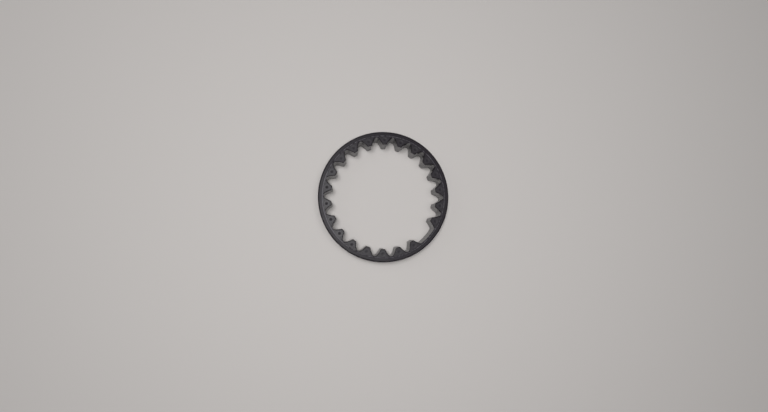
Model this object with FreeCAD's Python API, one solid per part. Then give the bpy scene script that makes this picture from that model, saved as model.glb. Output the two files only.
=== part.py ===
"""Internal ring gear with one tooth left out as an index, moulded in one piece.

Lengths are in millimetres. Angles are in degrees here at the top, and in radians inside the functions.
The gear stands on its bottom face with its axis on Z, its origin is the centre of that face, and the place
of the left-out tooth is centred on +X.
"""
import FreeCAD, Part
import math
import os

# Toothing: short involute teeth, whose heights are shares of the module as gear standards give them
module = 2.0
tooth_places = 22
left_out_places = (0,)
pressure_angle = 30.0
addendum_share = 0.7
dedendum_share = 0.75
thickness_extra = 0.06
tip_corner_radius = 0.45
flank_points = 5

# Rim, measured outwards from the root circle
rim_thickness = 2.25
face_width = 11.0

# Top face, where the toothed ring stands a little above the rim around it
raised_land = 0.4
raised_height = 0.35

# Edges
outer_edge_break = 0.5
tooth_edge_break = 0.25

# How closely the root arc is found, and how closely an edge must lie in a plane to count as in it
search_tolerance = 1e-9
plane_tolerance = 1e-6

pitch_radius = module * tooth_places / 2
pitch_step = 2 * math.pi / tooth_places
base_radius = pitch_radius * math.cos(math.radians(pressure_angle))
tooth_thickness = math.pi * module / 2 + thickness_extra
tip_radius = pitch_radius - addendum_share * module
root_radius = pitch_radius + dedendum_share * module
outer_radius = root_radius + rim_thickness
raised_radius = root_radius + raised_land
axis = FreeCAD.Vector(0, 0, 1)
centre = FreeCAD.Vector(0, 0, 0)


def involute(angle):
    """Return the involute function of a pressure angle."""
    return math.tan(angle) - angle


def flank_pressure_angle(radius):
    """Return the angle between a flank and the radius through it, at that radius."""
    return math.acos(base_radius / radius)


# Half the angle of the space between two teeth, carried down its flanks to the base circle
space_at_base = pitch_step / 2 - tooth_thickness / 2 / pitch_radius + involute(math.radians(pressure_angle))


def flank_offset(radius):
    """Return the angle from the middle of a space to either of its flanks, at a radius."""
    return space_at_base - involute(flank_pressure_angle(radius))


def flank_roll(radius):
    """Return the distance from the base circle to a radius along the flank's normal."""
    return math.sqrt(radius**2 - base_radius**2)


def find_root_arc():
    """Return the radius of the arc that ends a space and touches both flanks and the root circle.

    A curve parallel to an involute is the same involute turned by the distance over the base radius.
    The arc's centre is where the curve parallel to a flank meets the middle of the space.
    """
    shortest = 0.0
    longest = root_radius - base_radius
    while longest - shortest > search_tolerance:
        arc_radius = (shortest + longest) / 2
        if flank_offset(root_radius - arc_radius) > arc_radius / base_radius:
            shortest = arc_radius
        else:
            longest = arc_radius
    return (shortest + longest) / 2


root_arc_radius = find_root_arc()
root_arc_centre = root_radius - root_arc_radius
flank_start = math.hypot(base_radius, flank_roll(root_arc_centre) + root_arc_radius)

# The corner of a tip is rounded by an arc inside the tooth that touches the tip circle and the flank
corner_centre = tip_radius + tip_corner_radius
corner_offset = flank_offset(corner_centre) + tip_corner_radius / base_radius
flank_end = math.hypot(base_radius, flank_roll(corner_centre) - tip_corner_radius)


def at(radius, angle):
    """Return the point of the bottom plane at a radius and an angle about the axis."""
    return FreeCAD.Vector(radius * math.cos(angle), radius * math.sin(angle), 0)


def arc(about, start, end):
    """Return the shorter arc about a point from one point to another."""
    middle = (start + end) / 2 - about
    middle.normalize()
    return Part.Arc(start, about + middle * about.distanceToPoint(start), end).toShape()


def flank(space, side):
    """Return a flank of a space, from its root arc to the tip's corner, on side 1 or -1 of its middle."""
    step = (flank_end - flank_start) / (flank_points - 1)
    radii = [flank_start + step * number for number in range(flank_points)]
    points = [at(radius, space + side * flank_offset(radius)) for radius in radii]
    slopes = [flank_offset(radius) - flank_pressure_angle(radius) for radius in (flank_start, flank_end)]
    tangents = [at(-1, space + side * slope) for slope in slopes]
    curve = Part.BSplineCurve()
    curve.interpolate(Points=points, InitialTangent=tangents[0], FinalTangent=tangents[1])
    return curve.toShape()


def half_tooth(space, side):
    """Return half the root arc, a flank and the tip's corner, on side 1 or -1 of the middle of a space."""
    root = at(root_radius, space)
    foot = at(flank_start, space + side * flank_offset(flank_start))
    shoulder = at(flank_end, space + side * flank_offset(flank_end))
    tip = at(tip_radius, space + side * corner_offset)
    return [
        arc(at(root_arc_centre, space), root, foot),
        flank(space, side),
        arc(at(corner_centre, space + side * corner_offset), shoulder, tip),
    ]


def toothed_outline():
    """Return the closed outline of the teeth, with the root circle running on where a tooth is left out."""
    edges = []
    for place in range(tooth_places):
        before = (place - 0.5) * pitch_step
        after = (place + 0.5) * pitch_step
        if place in left_out_places:
            edges.append(arc(centre, at(root_radius, before), at(root_radius, after)))
        else:
            tip_start = at(tip_radius, before + corner_offset)
            tip_end = at(tip_radius, after - corner_offset)
            edges += half_tooth(before, 1)
            edges.append(arc(centre, tip_start, tip_end))
            edges += reversed(half_tooth(after, -1))
    return Part.Wire(edges)


def blank():
    """Return the ring's body before its hole, turned from half its section."""
    rim_top = face_width - raised_height
    section = [
        (0, 0),
        (outer_radius - outer_edge_break, 0),
        (outer_radius, outer_edge_break),
        (outer_radius, rim_top - outer_edge_break),
        (outer_radius - outer_edge_break, rim_top),
        (raised_radius + raised_height, rim_top),
        (raised_radius, face_width),
        (0, face_width),
        (0, 0),
    ]
    outline = Part.makePolygon([FreeCAD.Vector(radius, 0, height) for radius, height in section])
    return Part.Face(outline).revolve(centre, axis, 360)


def break_tooth_edges(ring):
    """Return the ring with a small chamfer along the teeth on both of its faces."""
    edges = []
    for edge in ring.Edges:
        box = edge.BoundBox
        flat = box.ZLength < plane_tolerance
        on_face = box.ZMin < plane_tolerance or box.ZMax > face_width - plane_tolerance
        reach = max(math.hypot(*vertex.Point[:2]) for vertex in edge.Vertexes)
        inside = reach < root_radius + plane_tolerance
        if flat and on_face and inside:
            edges.append(edge)
    return ring.makeChamfer(tooth_edge_break, edges)


def ring_gear():
    """Return the whole gear."""
    hole = Part.Face(toothed_outline()).extrude(axis * face_width)
    return break_tooth_edges(blank().cut(hole))


os.makedirs("parts", exist_ok=True)
ring_gear().exportStep("parts/ring_gear.step")
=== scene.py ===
"""Looks of an internal ring gear with one tooth left out: its rounded form, its black plastic and a studio.

Lengths are in metres, in the part's own frame: the gear stands on its bottom face, with its axis on Z and the
place of the left-out tooth on +X.
"""
import cmath
import logging
import math
from collections import defaultdict
from dataclasses import dataclass
from enum import Enum
from typing import Callable

import bmesh
import bpy
from mathutils import Matrix, Vector


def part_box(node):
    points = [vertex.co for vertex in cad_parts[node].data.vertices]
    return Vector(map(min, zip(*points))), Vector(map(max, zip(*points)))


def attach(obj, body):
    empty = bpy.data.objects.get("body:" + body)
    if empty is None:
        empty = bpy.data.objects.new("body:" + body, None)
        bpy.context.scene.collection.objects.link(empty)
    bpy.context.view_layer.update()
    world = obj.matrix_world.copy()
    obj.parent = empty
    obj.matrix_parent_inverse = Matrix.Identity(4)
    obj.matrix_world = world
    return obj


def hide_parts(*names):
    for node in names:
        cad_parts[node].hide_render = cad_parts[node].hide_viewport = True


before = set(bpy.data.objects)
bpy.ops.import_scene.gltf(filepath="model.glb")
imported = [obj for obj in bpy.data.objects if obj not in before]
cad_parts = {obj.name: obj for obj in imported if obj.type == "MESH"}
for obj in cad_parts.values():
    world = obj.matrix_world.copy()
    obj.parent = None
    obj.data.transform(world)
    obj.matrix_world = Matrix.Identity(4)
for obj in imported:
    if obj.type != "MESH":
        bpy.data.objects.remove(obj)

Colour = tuple[float, float, float]
Marks = tuple[float, float]
Socket = bpy.types.NodeSocket

MM = 0.001
HAIR = 0.001 * MM

# Angle about the axis of the lit side, where the step edge's painted highlight is strongest and the sink
# marks' painted shade and painted highlight show most
LIT_SIDE = math.radians(-123.0)

# What an eased value comes to before its first mark and after its second
RISING = (0.0, 1.0)
FALLING = (1.0, 0.0)

log = logging.getLogger("ring_gear")


def swing(about: complex, start: complex, end: complex, share: float) -> complex:
    """Follow the shorter arc about a centre.

    Args:
        about: The arc's centre.
        start: Where the arc begins.
        end: Where it ends.
        share: How far along it to go, from 0 to 1.

    Returns:
        The point on the arc.
    """
    turn = cmath.phase((end - about) / (start - about))
    return about + (start - about) * cmath.exp(1j * turn * share)


def smoothstep(value: float, low: float, high: float) -> float:
    """Ease a value, from 0 at and below a low mark to 1 at and above a high one."""
    share = min(max((value - low) / (high - low), 0.0), 1.0)
    return share * share * (3 - 2 * share)


@dataclass(frozen=True)
class Toothing:
    """Short involute teeth round a bore, as an outline of points in the plane of the gear's faces."""

    module: float = 2.0 * MM
    places: int = 22
    left_out: int = 0
    pressure_angle: float = math.radians(30.0)
    addendum_share: float = 0.7
    dedendum_share: float = 0.75
    thickness_extra: float = 0.06 * MM
    tip_corner: float = 0.45 * MM
    root_steps: int = 4
    flank_steps: int = 5
    corner_steps: int = 4
    tip_steps: int = 2
    search_tolerance: float = 1e-9 * MM

    @property
    def pitch_radius(self) -> float:
        """Radius where teeth and spaces are about as wide as each other."""
        return self.module * self.places / 2

    @property
    def base_radius(self) -> float:
        """Radius of the circle that the flanks unroll from."""
        return self.pitch_radius * math.cos(self.pressure_angle)

    @property
    def tip_radius(self) -> float:
        """Radius of the tooth tips."""
        return self.pitch_radius - self.addendum_share * self.module

    @property
    def root_radius(self) -> float:
        """Radius of the roots, and of the land where a tooth is left out."""
        return self.pitch_radius + self.dedendum_share * self.module

    @property
    def step(self) -> float:
        """Angle from one tooth to the next."""
        return 2 * math.pi / self.places

    @staticmethod
    def involute(angle: float) -> float:
        """Involute function of a pressure angle."""
        return math.tan(angle) - angle

    def flank_offset(self, radius: float) -> float:
        """Find where a flank crosses a circle.

        Args:
            radius: The circle's radius.

        Returns:
            The angle from the middle of a space to the flank.
        """
        thickness = math.pi * self.module / 2 + self.thickness_extra
        at_base = self.step / 2 - thickness / 2 / self.pitch_radius + self.involute(self.pressure_angle)
        return at_base - self.involute(math.acos(self.base_radius / radius))

    def flank_roll(self, radius: float) -> float:
        """Distance from the base circle to a radius along the flank's normal."""
        return math.sqrt(radius**2 - self.base_radius**2)

    def root_arc(self) -> float:
        """Find the arc that ends a space, touching both flanks and the root circle.

        Returns:
            The arc's radius.
        """
        shortest = 0.0
        longest = self.root_radius - self.base_radius
        while longest - shortest > self.search_tolerance:
            radius = (shortest + longest) / 2
            if self.flank_offset(self.root_radius - radius) > radius / self.base_radius:
                shortest = radius
            else:
                longest = radius
        return (shortest + longest) / 2

    def half_place(self) -> list[complex]:
        """Outline the half of one place that runs from the middle of a space to the middle of a tooth.

        Returns:
            The points, with the middle of the space on the real axis.
        """
        arc_radius = self.root_arc()
        arc_centre = self.root_radius - arc_radius
        foot = math.hypot(self.base_radius, self.flank_roll(arc_centre) + arc_radius)
        corner_radius = self.tip_radius + self.tip_corner
        corner_angle = self.flank_offset(corner_radius) + self.tip_corner / self.base_radius
        shoulder = math.hypot(self.base_radius, self.flank_roll(corner_radius) - self.tip_corner)

        root_points = (complex(self.root_radius), cmath.rect(foot, self.flank_offset(foot)))
        corner_centre = cmath.rect(corner_radius, corner_angle)
        corner_points = (
            cmath.rect(shoulder, self.flank_offset(shoulder)),
            cmath.rect(self.tip_radius, corner_angle),
        )
        tip_middle = cmath.rect(self.tip_radius, self.step / 2)

        points = []
        for n in range(self.root_steps):
            points.append(swing(complex(arc_centre), *root_points, n / self.root_steps))
        for n in range(self.flank_steps):
            radius = foot + (shoulder - foot) * n / self.flank_steps
            points.append(cmath.rect(radius, self.flank_offset(radius)))
        for n in range(self.corner_steps):
            points.append(swing(corner_centre, *corner_points, n / self.corner_steps))
        for n in range(self.tip_steps):
            points.append(swing(0, corner_points[1], tip_middle, n / self.tip_steps))
        return points + [tip_middle]

    def outline(self) -> list[complex]:
        """Outline the whole bore, with the place of the left-out tooth centred on the real axis.

        Returns:
            The points in order, with as many in the place of the left-out tooth as in any other.
        """
        half = self.half_place()
        whole = half + [point.conjugate() * cmath.rect(1, self.step) for point in reversed(half[1:-1])]
        land = [cmath.rect(self.root_radius, self.step * n / len(whole)) for n in range(len(whole))]
        points = []
        for place in range(self.places):
            turn = cmath.rect(1, (place - 0.5) * self.step)
            points += [point * turn for point in (land if place == self.left_out else whole)]
        return points


class NodeSketch:
    """A node tree that code draws node by node."""

    def __init__(self, tree: bpy.types.NodeTree) -> None:
        """Start with the tree as it is."""
        self.tree = tree

    def add(
        self, kind: str, inputs: dict[str | int, object] | None = None, **settings: object
    ) -> bpy.types.Node:
        """Add a node.

        Args:
            kind: The node's type.
            inputs: Its inputs by name or number, each with a socket to link from or a value to hold.
            settings: Its properties.

        Returns:
            The new node.
        """
        node = self.tree.nodes.new(kind)
        for setting, value in settings.items():
            setattr(node, setting, value)
        for key, value in (inputs or {}).items():
            self.give(node.inputs[key], value)
        return node

    def give(self, socket: Socket, value: object) -> None:
        """Give an input what it takes.

        Args:
            socket: The input.
            value: A socket to link from, or a value to hold.
        """
        if isinstance(value, Socket):
            self.tree.links.new(value, socket)
        else:
            socket.default_value = value

    def math(self, operation: str, *values: Socket | float) -> Socket:
        """Add a Math node on these values and return what it puts out."""
        return self.add("ShaderNodeMath", dict(enumerate(values)), operation=operation).outputs[0]

    def eased(self, value: Socket, marks: Marks, ends: Marks = RISING) -> Socket:
        """Ease a value between two marks.

        Args:
            value: The value.
            marks: Where the easing begins and ends.
            ends: What comes out at and beyond each mark.

        Returns:
            The eased value.
        """
        inputs = {"Value": value}
        for name, number in zip(("From Min", "From Max", "To Min", "To Max"), (*marks, *ends)):
            inputs[name] = number
        return self.add("ShaderNodeMapRange", inputs, interpolation_type="SMOOTHSTEP").outputs["Result"]

    def blend(self, share: Socket, first: Socket | Colour, second: Socket | Colour) -> Socket:
        """Blend two colours.

        Args:
            share: How much of the second there is, from 0 to 1.
            first: A colour, or the socket that gives it.
            second: The other one.

        Returns:
            The blended colour.
        """
        inputs = {"Factor_Float": share}
        for identifier, colour in (("A_Color", first), ("B_Color", second)):
            inputs[identifier] = colour if isinstance(colour, Socket) else (*colour, 1.0)
        node = self.add("ShaderNodeMix", data_type="RGBA")
        for socket in node.inputs:
            if socket.identifier in inputs:
                self.give(socket, inputs[socket.identifier])
        return next(socket for socket in node.outputs if socket.identifier == "Result_Color")

    def noise(self, place: Socket, scale: Socket | float, detail: float = 2.0) -> Socket:
        """Add cloudy noise at a place and return its value, from 0 to 1."""
        inputs = {"Vector": place, "Scale": scale, "Detail": detail}
        return self.add("ShaderNodeTexNoise", inputs).outputs["Fac"]

    def place(self, group: bpy.types.NodeTree, inputs: dict[str, object]) -> bpy.types.NodeOutputs:
        """Place a group with its own values and return its outputs."""
        return self.add("ShaderNodeGroup", inputs, node_tree=group).outputs


@dataclass(frozen=True)
class SinkMarks:
    """Shallow dishes, one in each tooth's face, where the thick plastic sank as it cooled.

    Flattened balls press them into the mesh. The finish gives each a darker dish, which is painted shade, and
    a paler lip round it, which is painted highlight;
    these begin and end at shares of the size, and show more on the lit side than elsewhere, and by chance.
    """

    radius: float = 22.55 * MM
    depth: float = 0.04 * MM
    ball: float = 0.85 * MM
    ball_steps: int = 32
    size: float = 0.95 * MM
    dish_shares: Marks = (0.15, 0.8)
    lip_shares: tuple[float, float, float] = (0.45, 0.85, 1.25)
    side_marks: Marks = (0.5, 0.95)
    side_strengths: Marks = (0.25, 0.8)
    chance: float = 0.25


class PlasticEffects:
    """Node groups for what the plastic's finishes have in common, each built once."""

    def __init__(self, sinks: SinkMarks) -> None:
        """Build every group.

        Args:
            sinks: The form of the sink marks.
        """
        self.grain = self.build_grain()
        self.flow = self.build_flow()
        self.wear_and_highlight = self.build_wear_and_highlight()
        self.draw_lines = self.build_draw_lines()
        self.sinks = self.build_sinks(sinks)

    @staticmethod
    def begin(
        name: str, inputs: list[str], *outputs: str
    ) -> tuple[NodeSketch, bpy.types.NodeOutputs, Callable[..., bpy.types.NodeTree]]:
        """Begin a group.

        Args:
            name: The group's name.
            inputs: The names of its inputs, of which Place is a vector and the others are numbers.
            outputs: The names of the numbers that it puts out.

        Returns:
            The sketch of its nodes, what it is given, and what to call with its results to get the group.
        """
        tree = bpy.data.node_groups.new(name, "ShaderNodeTree")
        for socket in inputs:
            kind = "NodeSocketVector" if socket == "Place" else "NodeSocketFloat"
            tree.interface.new_socket(name=socket, in_out="INPUT", socket_type=kind)
        for socket in outputs:
            tree.interface.new_socket(name=socket, in_out="OUTPUT", socket_type="NodeSocketFloat")
        sketch = NodeSketch(tree)

        def finish(*values: Socket) -> bpy.types.NodeTree:
            """Lead a value to each of the group's outputs."""
            sketch.add("NodeGroupOutput", dict(zip(outputs, values)))
            return tree

        return sketch, sketch.add("NodeGroupInput").outputs, finish

    def build_grain(self) -> bpy.types.NodeTree:
        """Build the fine grain of a spark-eroded mould.

        Returns:
            The group, which puts out a height from 0 to 1.
        """
        fineness = 2.7
        coarse_share = 0.6
        sketch, given, finish = self.begin("spark_grain", ["Place", "Size"], "Height")
        scale = sketch.math("DIVIDE", 1.0, given["Size"])
        coarse = sketch.noise(given["Place"], scale, detail=3.0)
        fine = sketch.noise(given["Place"], sketch.math("MULTIPLY", scale, fineness))
        fine_height = sketch.math("MULTIPLY", fine, 1 - coarse_share)
        return finish(sketch.math("MULTIPLY_ADD", coarse, coarse_share, fine_height))

    def build_flow(self) -> bpy.types.NodeTree:
        """Build the broad cloudy marks where the melt flowed together.

        Returns:
            The group, which puts out a share from 0 to 1.
        """
        marks = (0.3, 0.7)
        sketch, given, finish = self.begin("flow_marks", ["Place", "Size"], "Value")
        scale = sketch.math("DIVIDE", 1.0, given["Size"])
        clouds = sketch.noise(given["Place"], scale, detail=4.0)
        return finish(sketch.eased(clouds, marks))

    def build_wear_and_highlight(self) -> bpy.types.NodeTree:
        """Build the mask of the rubbed edges and their painted highlight, broken up along the edge.

        Returns:
            The group, which puts out a mask.
        """
        spread = 1.2
        marks = (0.3, 0.9)
        sketch, given, finish = self.begin("rubbed_edges_and_highlight", ["Place", "Edge", "Size", "Amount"], "Mask")
        scale = sketch.math("DIVIDE", 1.0, given["Size"])
        patches = sketch.noise(given["Place"], scale, detail=4.0)
        lowered = sketch.math("SUBTRACT", given["Edge"], spread / 2)
        broken = sketch.math("MULTIPLY_ADD", patches, spread, lowered)
        return finish(sketch.math("MULTIPLY", sketch.eased(broken, marks), given["Amount"]))

    def build_draw_lines(self) -> bpy.types.NodeTree:
        """Build the fine lines along the axis, left as the mould's core was drawn out.

        Returns:
            The group, which puts out a height from 0 to 1.
        """
        sketch, given, finish = self.begin("draw_lines", ["Place", "Spacing", "Length"], "Height")
        across = sketch.math("DIVIDE", 1.0, given["Spacing"])
        along = sketch.math("DIVIDE", 1.0, given["Length"])
        stretch = sketch.add("ShaderNodeCombineXYZ", {"X": across, "Y": across, "Z": along}).outputs[0]
        factors = {0: given["Place"], 1: stretch}
        stretched = sketch.add("ShaderNodeVectorMath", factors, operation="MULTIPLY").outputs[0]
        return finish(sketch.noise(stretched, 1.0))

    def build_sinks(self, sinks: SinkMarks) -> bpy.types.NodeTree:
        """Build the sink marks, plainest on the lit side that is given, where the dishes' painted shade and
        the lips' painted highlight show most.

        Args:
            sinks: The form of the marks.

        Returns:
            The group, which puts out a mask of the dishes for their painted shade and one of the lips round
            them for their painted highlight.
        """
        inputs = ["Place", "Radius", "Step", "Size", "LitSide"]
        sketch, given, finish = self.begin("sink_marks", inputs, "Dish", "Lip")
        axes = sketch.add("ShaderNodeSeparateXYZ", {"Vector": given["Place"]}).outputs
        squares = [sketch.math("POWER", axes[name], 2.0) for name in "XY"]
        radius = sketch.math("SQRT", sketch.math("ADD", *squares))
        angle = sketch.math("ARCTAN2", axes["Y"], axes["X"])
        number = sketch.math("ROUND", sketch.math("DIVIDE", angle, given["Step"]))
        middle = sketch.math("MULTIPLY", number, given["Step"])

        across = sketch.math("MULTIPLY", sketch.math("SUBTRACT", angle, middle), given["Radius"])
        along = sketch.math("SUBTRACT", radius, given["Radius"])
        offset = sketch.add("ShaderNodeCombineXYZ", {"X": across, "Y": along}).outputs[0]
        distance = sketch.add("ShaderNodeVectorMath", {0: offset}, operation="LENGTH").outputs["Value"]
        share = sketch.math("DIVIDE", distance, given["Size"])
        dish = sketch.eased(share, sinks.dish_shares, FALLING)
        rise = sketch.eased(share, sinks.lip_shares[:2])
        lip = sketch.math("MULTIPLY", rise, sketch.eased(share, sinks.lip_shares[1:], FALLING))

        # Stronger on the lit side, where the dishes' painted shade and the lips' painted highlight show most.
        side = sketch.math("COSINE", sketch.math("SUBTRACT", middle, given["LitSide"]))
        depth = sketch.eased(side, sinks.side_marks, sinks.side_strengths)
        chance = sketch.add("ShaderNodeTexWhiteNoise", {"W": number}, noise_dimensions="1D").outputs["Value"]
        strength = sketch.math("MULTIPLY_ADD", chance, sinks.chance, depth)
        return finish(*(sketch.math("MULTIPLY", mask, strength) for mask in (dish, lip)))


@dataclass(frozen=True)
class PlasticFinish:
    """One finish of the gear's black filled plastic, as its mould left it, with painted highlight on its
    edges and painted shade in its sink marks.

    Heights are those of its relief. A finish without sink relief shows no sink marks.
    """

    name: str
    colour: Colour = (0.0075, 0.0052, 0.0086)
    cloud_colour: Colour = (0.0115, 0.0085, 0.0130)
    # Pale colour of the rubbed edges, wear and painted highlight, and of the sink marks' lips, painted
    # highlight.
    wear_and_highlight_colour: Colour = (0.185, 0.177, 0.193)
    refraction: float = 1.45
    roughness: float = 0.34
    gloss: float = 0.13
    cloud_roughness: float = 0.04
    rubbed_roughness: float = -0.12
    cloud_size: float = 3.0 * MM
    grain_size: float = 0.16 * MM
    grain_height: float = 0.006 * MM
    grain_middle: float = 0.5
    grain_contrast: float = 1.6
    grain_roughness: float = 0.25
    wear_and_highlight: float = 1.0
    wear_and_highlight_size: float = 0.9 * MM
    line_height: float = 0.0
    line_spacing: float = 0.22 * MM
    line_length: float = 7.0 * MM
    sink_relief: float = 0.0
    sink_roughness: float = 0.20
    # Darker colour of the sink dishes is painted shade; the lips are paled by painted highlight.
    sink_shade_colour: Colour = (0.0065, 0.0050, 0.0075)
    lip_highlight: float = 0.16

    def material(self, effects: PlasticEffects, sinks: SinkMarks, tooth_step: float) -> bpy.types.Material:
        """Make the finish's material.

        Args:
            effects: The groups that the finishes share.
            sinks: The sink marks in the tooth faces.
            tooth_step: Angle from one tooth to the next.

        Returns:
            The plastic, with its colour, roughness and relief from nodes.
        """
        material = bpy.data.materials.new(self.name)
        material.use_nodes = True
        sketch = NodeSketch(material.node_tree)
        place = sketch.add("ShaderNodeTexCoord").outputs["Object"]
        edge = sketch.add("ShaderNodeAttribute", attribute_name="rubbed_and_highlight").outputs["Fac"]

        grain = sketch.place(effects.grain, {"Place": place, "Size": self.grain_size})[0]
        clouds = sketch.place(effects.flow, {"Place": place, "Size": self.cloud_size})[0]
        wear_and_highlight_inputs = {"Place": place, "Edge": edge, "Size": self.wear_and_highlight_size, "Amount": self.wear_and_highlight}
        wear_and_highlight = sketch.place(effects.wear_and_highlight, wear_and_highlight_inputs)[0]
        speckle = sketch.math("SUBTRACT", grain, self.grain_middle)
        mottle = sketch.math("MULTIPLY_ADD", speckle, self.grain_contrast, clouds)
        colour = sketch.blend(mottle, self.colour, self.cloud_colour)
        # Paler on the rubbed edges: wear and painted highlight.
        colour = sketch.blend(wear_and_highlight, colour, self.wear_and_highlight_colour)
        roughness = sketch.math("MULTIPLY_ADD", clouds, self.cloud_roughness, self.roughness)
        roughness = sketch.math("MULTIPLY_ADD", speckle, self.grain_roughness, roughness)
        roughness = sketch.math("MULTIPLY_ADD", wear_and_highlight, self.rubbed_roughness, roughness)
        relief = sketch.math("MULTIPLY", grain, self.grain_height / MM)

        if self.line_height:
            ruled = {"Place": place, "Spacing": self.line_spacing, "Length": self.line_length}
            lines = sketch.place(effects.draw_lines, ruled)[0]
            relief = sketch.math("MULTIPLY_ADD", lines, self.line_height / MM, relief)
        if self.sink_relief:
            sunk = {"Place": place, "Radius": sinks.radius, "Step": tooth_step, "Size": sinks.size}
            dishes, lips = sketch.place(effects.sinks, {**sunk, "LitSide": LIT_SIDE})[:2]
            # Paler lips round the sinks are painted highlight and darker dishes are painted shade, both
            # strongest on the lit side.
            colour = sketch.blend(sketch.math("MULTIPLY", lips, self.lip_highlight), colour, self.wear_and_highlight_colour)
            colour = sketch.blend(dishes, colour, self.sink_shade_colour)
            roughness = sketch.math("MULTIPLY_ADD", dishes, self.sink_roughness, roughness)
            relief = sketch.math("MULTIPLY_ADD", dishes, -self.sink_relief / MM, relief)

        shader = material.node_tree.nodes["Principled BSDF"]
        shader.inputs["IOR"].default_value = self.refraction
        shader.inputs["Specular IOR Level"].default_value = self.gloss
        bump = sketch.add("ShaderNodeBump", {"Height": relief, "Distance": MM}).outputs["Normal"]
        for socket, value in (("Base Color", colour), ("Roughness", roughness), ("Normal", bump)):
            material.node_tree.links.new(value, shader.inputs[socket])
        return material


class Finish(Enum):
    """The finishes of the gear's surfaces."""

    RAISED_FACE = PlasticFinish("raised_face", sink_relief=0.002 * MM)
    RIM = PlasticFinish("rim_face", roughness=0.37, gloss=0.112)
    WALL = PlasticFinish(
        "drawn_wall",
        colour=(0.0078, 0.0074, 0.0140),
        cloud_colour=(0.0115, 0.0108, 0.0185),
        roughness=0.25,
        gloss=0.39,
        grain_height=0.003 * MM,
        line_height=0.004 * MM,
    )


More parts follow.
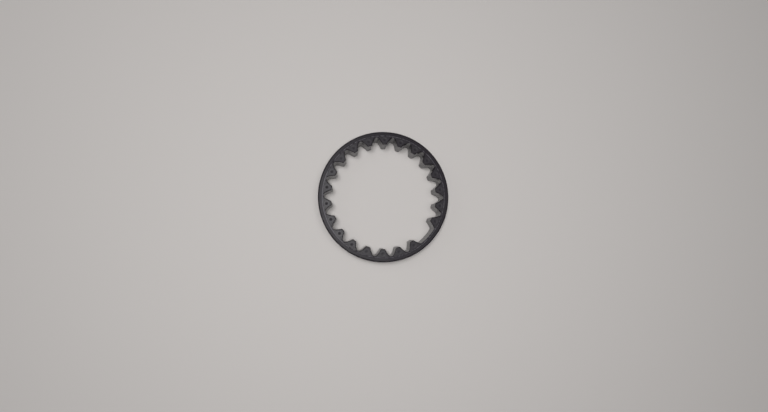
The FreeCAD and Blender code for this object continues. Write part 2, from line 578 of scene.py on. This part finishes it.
@dataclass
class ToothedRing:
    """The gear's one moulded piece, modelled loop by loop from a circle."""

    toothing: Toothing
    outer_radius: float
    face_width: float
    raised_land: float = 0.4 * MM
    raised_height: float = 0.35 * MM
    outer_round: float = 0.5 * MM
    tooth_round: float = 0.31 * MM
    step_round: float = 0.08 * MM
    round_steps: int = 4
    sinks: SinkMarks = SinkMarks()
    smooth_angle: float = math.radians(40.0)
    plain_slopes: tuple[float, ...] = (0.0, math.sqrt(0.5), 1.0)
    plain_tolerance: float = 1e-4
    wall_lean: float = 0.15
    # How pale the edges and the step are painted: wear and painted highlight, the step's highlight strongest
    # on the lit side.
    edge_wear_and_highlight: float = 0.27
    step_highlight: float = 0.62
    lean_marks: Marks = (0.3, 0.9)
    lit_side_marks: Marks = (0.7, 0.96)
    name: str = "toothed_ring"

    @property
    def raised_radius(self) -> float:
        """Radius of the toothed ring's raised face."""
        return self.toothing.root_radius + self.raised_land

    @property
    def rim_top(self) -> float:
        """Height of the rim round the raised face."""
        return self.face_width - self.raised_height

    def model(self) -> bpy.types.Object:
        """Model the ring.

        Returns:
            The finished piece, at the origin.
        """
        outline = self.toothing.outline()
        bpy.ops.object.select_all(action="DESELECT")
        bpy.ops.mesh.primitive_circle_add(
            vertices=len(outline), radius=self.raised_radius, enter_editmode=True
        )
        ring = bpy.context.object
        ring.name = ring.data.name = self.name
        bpy.ops.transform.translate(value=(0, 0, self.face_width))
        self.press_teeth(ring, outline)
        self.turn_rim(ring)
        self.round_edges(ring)
        bpy.ops.mesh.select_all(action="SELECT")
        bpy.ops.mesh.normals_make_consistent(inside=False)
        bpy.ops.object.mode_set(mode="OBJECT")
        self.press_sinks(ring)
        self.smooth(ring)
        self.mark_wear_and_highlight(ring)
        return ring

    def press_teeth(self, ring: bpy.types.Object, outline: list[complex]) -> None:
        """Extrude the circle inwards onto the toothed outline, and that down to the bottom face.

        Args:
            ring: The piece, in edit mode, with its circle selected.
            outline: The points of the bore.
        """
        bpy.ops.mesh.extrude_region_move()
        mesh = bmesh.from_edit_mesh(ring.data)
        spacing = 2 * math.pi / len(outline)
        start = cmath.phase(outline[0])
        for vertex in mesh.verts:
            if vertex.select:
                number = round((math.atan2(vertex.co.y, vertex.co.x) - start) / spacing) % len(outline)
                vertex.co.x = outline[number].real
                vertex.co.y = outline[number].imag
        bmesh.update_edit_mesh(ring.data)
        bpy.ops.mesh.extrude_region_move(TRANSFORM_OT_translate={"value": (0, 0, -self.face_width)})

    def turn_rim(self, ring: bpy.types.Object) -> None:
        """Extrude the circle outwards into the step and the rim, and close the bottom face.

        Args:
            ring: The piece, in edit mode.
        """
        self.select_edges(ring, lambda r, z: abs(r - self.raised_radius) < HAIR)
        foot_radius = self.raised_radius + self.raised_height
        bpy.ops.mesh.extrude_region_move(TRANSFORM_OT_translate={"value": (0, 0, -self.raised_height)})
        self.widen(self.raised_radius, foot_radius)
        bpy.ops.mesh.extrude_region_move()
        self.widen(foot_radius, self.outer_radius)
        bpy.ops.mesh.extrude_region_move(TRANSFORM_OT_translate={"value": (0, 0, -self.rim_top)})
        self.select_edges(ring, lambda r, z: z < HAIR)
        bpy.ops.mesh.bridge_edge_loops()

    def round_edges(self, ring: bpy.types.Object) -> None:
        """Round the gear's edges: the teeth's, the outer wall's and the step's.

        Args:
            ring: The piece, in edit mode.
        """
        teeth_end = self.toothing.root_radius + HAIR
        step_start = self.raised_radius - HAIR
        step_end = self.raised_radius + self.raised_height + HAIR
        self.select_edges(ring, lambda r, z: r < teeth_end and (z < HAIR or z > self.face_width - HAIR))
        self.bevel(self.tooth_round)
        self.select_edges(ring, lambda r, z: r > self.outer_radius - HAIR)
        self.bevel(self.outer_round)
        self.select_edges(ring, lambda r, z: z > self.rim_top - HAIR and step_start < r < step_end)
        self.bevel(self.step_round)

    def press_sinks(self, ring: bpy.types.Object) -> None:
        """Press the sink marks into the tooth faces with flattened balls.

        The first ball is modelled over the gap on +X, where it cuts nothing, and copied to the other
        places. The cut leaves faces with many corners, which are then split so that none folds flat.

        Args:
            ring: The piece, in object mode.
        """
        bpy.ops.object.select_all(action="DESELECT")
        bpy.ops.mesh.primitive_uv_sphere_add(
            segments=self.sinks.ball_steps,
            ring_count=self.sinks.ball_steps,
            radius=self.sinks.ball,
            location=(self.sinks.radius, 0, self.face_width + self.sinks.depth),
            scale=(1, 1, 2 * self.sinks.depth / self.sinks.ball),
            enter_editmode=True,
        )
        balls = bpy.context.object
        copies = self.toothing.places - 1
        turn = copies * self.toothing.step
        bpy.ops.mesh.spin(steps=copies, dupli=True, angle=turn, center=(0, 0, 0), axis=(0, 0, 1))
        bpy.ops.mesh.select_all(action="SELECT")
        bpy.ops.mesh.normals_make_consistent(inside=False)
        bpy.ops.object.mode_set(mode="OBJECT")

        bpy.ops.object.select_all(action="DESELECT")
        bpy.context.view_layer.objects.active = ring
        cut = ring.modifiers.new("sinks", "BOOLEAN")
        cut.operation = "DIFFERENCE"
        cut.object = balls
        bpy.ops.object.modifier_apply(modifier=cut.name)
        bpy.data.objects.remove(balls)
        ring.select_set(True)

        bpy.ops.object.mode_set(mode="EDIT")
        bpy.ops.mesh.select_all(action="SELECT")
        bpy.ops.mesh.remove_doubles(threshold=HAIR)
        bpy.ops.mesh.dissolve_degenerate(threshold=HAIR)
        bpy.ops.mesh.quads_convert_to_tris(quad_method="BEAUTY", ngon_method="BEAUTY")
        bpy.ops.object.mode_set(mode="OBJECT")

    def smooth(self, ring: bpy.types.Object) -> None:
        """Shade the ring smooth, with its plain surfaces as plain right up to the rounds beside them.

        Args:
            ring: The piece, in object mode.
        """
        bpy.ops.object.shade_smooth_by_angle(angle=self.smooth_angle)
        plain_directions = defaultdict(Vector)
        for polygon in ring.data.polygons:
            if self.is_plain(polygon):
                for vertex in polygon.vertices:
                    plain_directions[vertex] += polygon.normal
        directions = [plain_directions[loop.vertex_index].normalized() for loop in ring.data.loops]
        ring.data.normals_split_custom_set(directions)

    def is_plain(self, polygon: bpy.types.MeshPolygon) -> bool:
        """Whether a face belongs to a flat, a wall or the step's slope, and not to a round between them."""
        lean = abs(polygon.normal.z)
        return any(math.isclose(lean, slope, abs_tol=self.plain_tolerance) for slope in self.plain_slopes)

    def mark_wear_and_highlight(self, ring: bpy.types.Object) -> None:
        """Write how pale each vertex is painted, for wear and for painted highlight, as the attribute that
        the finishes read.

        A vertex gets paled where its normal leans between a flat and a wall, which it does on an edge; the
        step's edge is paled more, a painted highlight that is strongest on the lit side.

        Args:
            ring: The piece, in object mode.
        """
        rubbed_and_highlight = ring.data.attributes.new("rubbed_and_highlight", "FLOAT", "POINT")
        for vertex in ring.data.vertices:
            lean = 2 * abs(vertex.normal.z) * math.hypot(vertex.normal.x, vertex.normal.y)
            radius, angle = cmath.polar(complex(vertex.co.x, vertex.co.y))
            share = self.edge_wear_and_highlight
            # The step's edge gets more: a painted highlight, strongest on the lit side.
            if vertex.co.z > self.rim_top - HAIR and abs(radius - self.raised_radius) < self.raised_height:
                on_lit_side = smoothstep(math.cos(angle - LIT_SIDE), *self.lit_side_marks)
                share = self.step_highlight + (1 - self.step_highlight) * on_lit_side
            rubbed_and_highlight.data[vertex.index].value = share * smoothstep(lean, *self.lean_marks)

    def dress(self, ring: bpy.types.Object) -> None:
        """Give each face of the ring the finish that its side of the mould left on it.

        Args:
            ring: The piece, in object mode.
        """
        effects = PlasticEffects(self.sinks)
        finishes = list(Finish)
        for finish in finishes:
            ring.data.materials.append(finish.value.material(effects, self.sinks, self.toothing.step))
        for polygon in ring.data.polygons:
            radius = math.hypot(polygon.center.x, polygon.center.y)
            finish = Finish.RAISED_FACE
            if abs(polygon.normal.z) < self.wall_lean:
                finish = Finish.WALL
            elif radius > self.raised_radius + self.raised_height / 2:
                finish = Finish.RIM
            polygon.material_index = finishes.index(finish)

    @staticmethod
    def widen(before: float, after: float) -> None:
        """Scale the selected loop from one radius to another."""
        bpy.ops.transform.resize(value=(after / before, after / before, 1), center_override=(0, 0, 0))

    def bevel(self, width: float) -> None:
        """Round the selected edges."""
        bpy.ops.mesh.bevel(
            offset=width, segments=self.round_steps, affect="EDGES", clamp_overlap=False, loop_slide=False
        )

    @staticmethod
    def select_edges(ring: bpy.types.Object, wanted: Callable[[float, float], bool]) -> None:
        """Select the edges that run round the gear at a place, and nothing else.

        Args:
            ring: The piece, in edit mode.
            wanted: Says of a radius and a height whether a vertex there belongs to the edges.
        """
        bpy.ops.mesh.select_mode(type="EDGE")
        bpy.ops.mesh.select_all(action="DESELECT")
        mesh = bmesh.from_edit_mesh(ring.data)
        for edge in mesh.edges:
            ends = [vertex.co for vertex in edge.verts]
            level = abs(ends[0].z - ends[1].z) < HAIR
            if level and all(wanted(math.hypot(end.x, end.y), end.z) for end in ends):
                edge.select = True
        mesh.select_flush_mode()
        bmesh.update_edit_mesh(ring.data)


@dataclass(frozen=True)
class SoftLamp:
    """A round soft lamp that faces the gear.

    Right and up say by how many degrees its direction leans that way in the picture, from straight above.
    """

    name: str
    right: float
    up: float
    power: float
    size: float
    distance: float = 600 * MM

    def hang(self, picture_right: Vector, picture_up: Vector) -> None:
        """Hang the lamp.

        Args:
            picture_right: Direction in the part's frame that points right in the picture.
            picture_up: Direction that points up in it.
        """
        data = bpy.data.lights.new(self.name, "AREA")
        data.shape = "DISK"
        data.size = self.size
        data.energy = self.power
        lamp = bpy.data.objects.new(self.name, data)
        bpy.context.scene.collection.objects.link(lamp)
        lean = math.radians(math.hypot(self.right, self.up))
        sideways = (picture_right * self.right + picture_up * self.up).normalized()
        towards = sideways * math.sin(lean) + Vector((0, 0, math.cos(lean)))
        lamp.location = towards * self.distance
        lamp.rotation_mode = "QUATERNION"
        lamp.rotation_quaternion = towards.to_track_quat("Z", "Y")


@dataclass(frozen=True)
class Studio:
    """A plain pale floor, soft lamps and a camera where the photograph was taken from.

    The camera is set by where the ring lies in the picture and how large it is there, in pixels. It leans
    from straight above by the tilt, towards a direction given by how far that points right and up.
    """

    aim_height: float
    ring_radius: float
    image_width: int = 768
    image_height: int = 412
    ring_pixel: tuple[float, float] = (383.9, 196.5)
    ring_radius_pixels: float = 65.64
    distance: float = 187 * MM
    tilt: float = math.radians(6.1)
    tilt_towards: tuple[float, float] = (-0.68, -0.733)
    index_gap_turn: float = math.radians(41.8)
    sensor_width: float = 36.0
    floor_size: float = 6.0
    floor_colour: Colour = (0.560, 0.535, 0.520)
    floor_roughness: float = 0.7
    world_strength: float = 0.02
    lamps: tuple[SoftLamp, ...] = (
        SoftLamp("ceiling_left", right=-7.5, up=4.5, power=1.45, size=120 * MM),
        SoftLamp("ceiling_right", right=7.5, up=0.5, power=0.80, size=200 * MM),
        SoftLamp("by_camera", right=-4.2, up=-4.5, power=0.18, size=50 * MM, distance=260 * MM),
        SoftLamp("skylight", right=-7.5, up=13.0, power=0.15, size=120 * MM),
        SoftLamp("window", right=-35.0, up=14.5, power=0.12, size=160 * MM),
    )

    @property
    def right(self) -> Vector:
        """Direction in the part's frame that points right in the picture."""
        return Vector((math.cos(self.index_gap_turn), math.sin(self.index_gap_turn), 0))

    @property
    def up(self) -> Vector:
        """Direction in the part's frame that points up in the picture."""
        return Vector((-math.sin(self.index_gap_turn), math.cos(self.index_gap_turn), 0))

    def place_camera(self) -> None:
        """Set the camera over the gear, so that the ring falls where it does in the photograph."""
        data = bpy.data.cameras.new("camera")
        camera = bpy.data.objects.new("camera", data)
        bpy.context.scene.collection.objects.link(camera)
        bpy.context.scene.camera = camera
        focal_pixels = self.ring_radius_pixels * self.distance / self.ring_radius
        data.sensor_width = self.sensor_width
        data.lens = focal_pixels * self.sensor_width / self.image_width

        target = Vector((0, 0, self.aim_height))
        lean = self.right * self.tilt_towards[0] + self.up * self.tilt_towards[1]
        back = (lean.normalized() * math.sin(self.tilt) + Vector((0, 0, math.cos(self.tilt)))).normalized()
        camera.location = target + back * self.distance
        beside = self.ring_pixel[0] - self.image_width / 2
        above = self.image_height / 2 - self.ring_pixel[1]
        camera_right = self.up.cross(back).normalized()
        camera_up = back.cross(camera_right)
        scale = self.distance / focal_pixels
        aim = target - camera_right * beside * scale - camera_up * above * scale
        look = (camera.location - aim).normalized()
        side = self.up.cross(look).normalized()
        camera.matrix_world = Matrix.Translation(camera.location) @ Matrix(
            (side, look.cross(side), look)
        ).transposed().to_4x4()

    def lay_floor(self) -> None:
        """Lay the floor under the gear."""
        bpy.ops.object.select_all(action="DESELECT")
        bpy.ops.mesh.primitive_plane_add(size=self.floor_size)
        floor = bpy.context.object
        floor.name = floor.data.name = "floor"
        material = bpy.data.materials.new("pale_floor")
        material.use_nodes = True
        shader = material.node_tree.nodes["Principled BSDF"]
        shader.inputs["Base Color"].default_value = (*self.floor_colour, 1.0)
        shader.inputs["Roughness"].default_value = self.floor_roughness
        shader.inputs["Specular IOR Level"].default_value = 0.0
        floor.data.materials.append(material)

    def hang_lights(self) -> None:
        """Light the gear faintly from all round, and hang the lamps."""
        world = bpy.data.worlds.new("studio")
        world.use_nodes = True
        background = world.node_tree.nodes["Background"]
        background.inputs["Color"].default_value = (1.0, 1.0, 1.0, 1.0)
        background.inputs["Strength"].default_value = self.world_strength
        bpy.context.scene.world = world
        for lamp in self.lamps:
            lamp.hang(self.right, self.up)


def main() -> None:
    """Build the gear, dress it and light it."""
    logging.basicConfig(level=logging.INFO, format="%(name)s: %(message)s")
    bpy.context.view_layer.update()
    low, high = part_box("ring_gear")

    ring = ToothedRing(Toothing(), outer_radius=high.x, face_width=high.z - low.z)
    piece = ring.model()
    ring.dress(piece)
    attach(piece, "root")
    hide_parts("ring_gear")
    log.info("%s: %d faces", piece.name, len(piece.data.polygons))

    studio = Studio(aim_height=high.z, ring_radius=high.x)
    studio.lay_floor()
    studio.hang_lights()
    studio.place_camera()
    bpy.context.scene.view_settings.view_transform = "Standard"


if __name__ == "__main__":
    main()
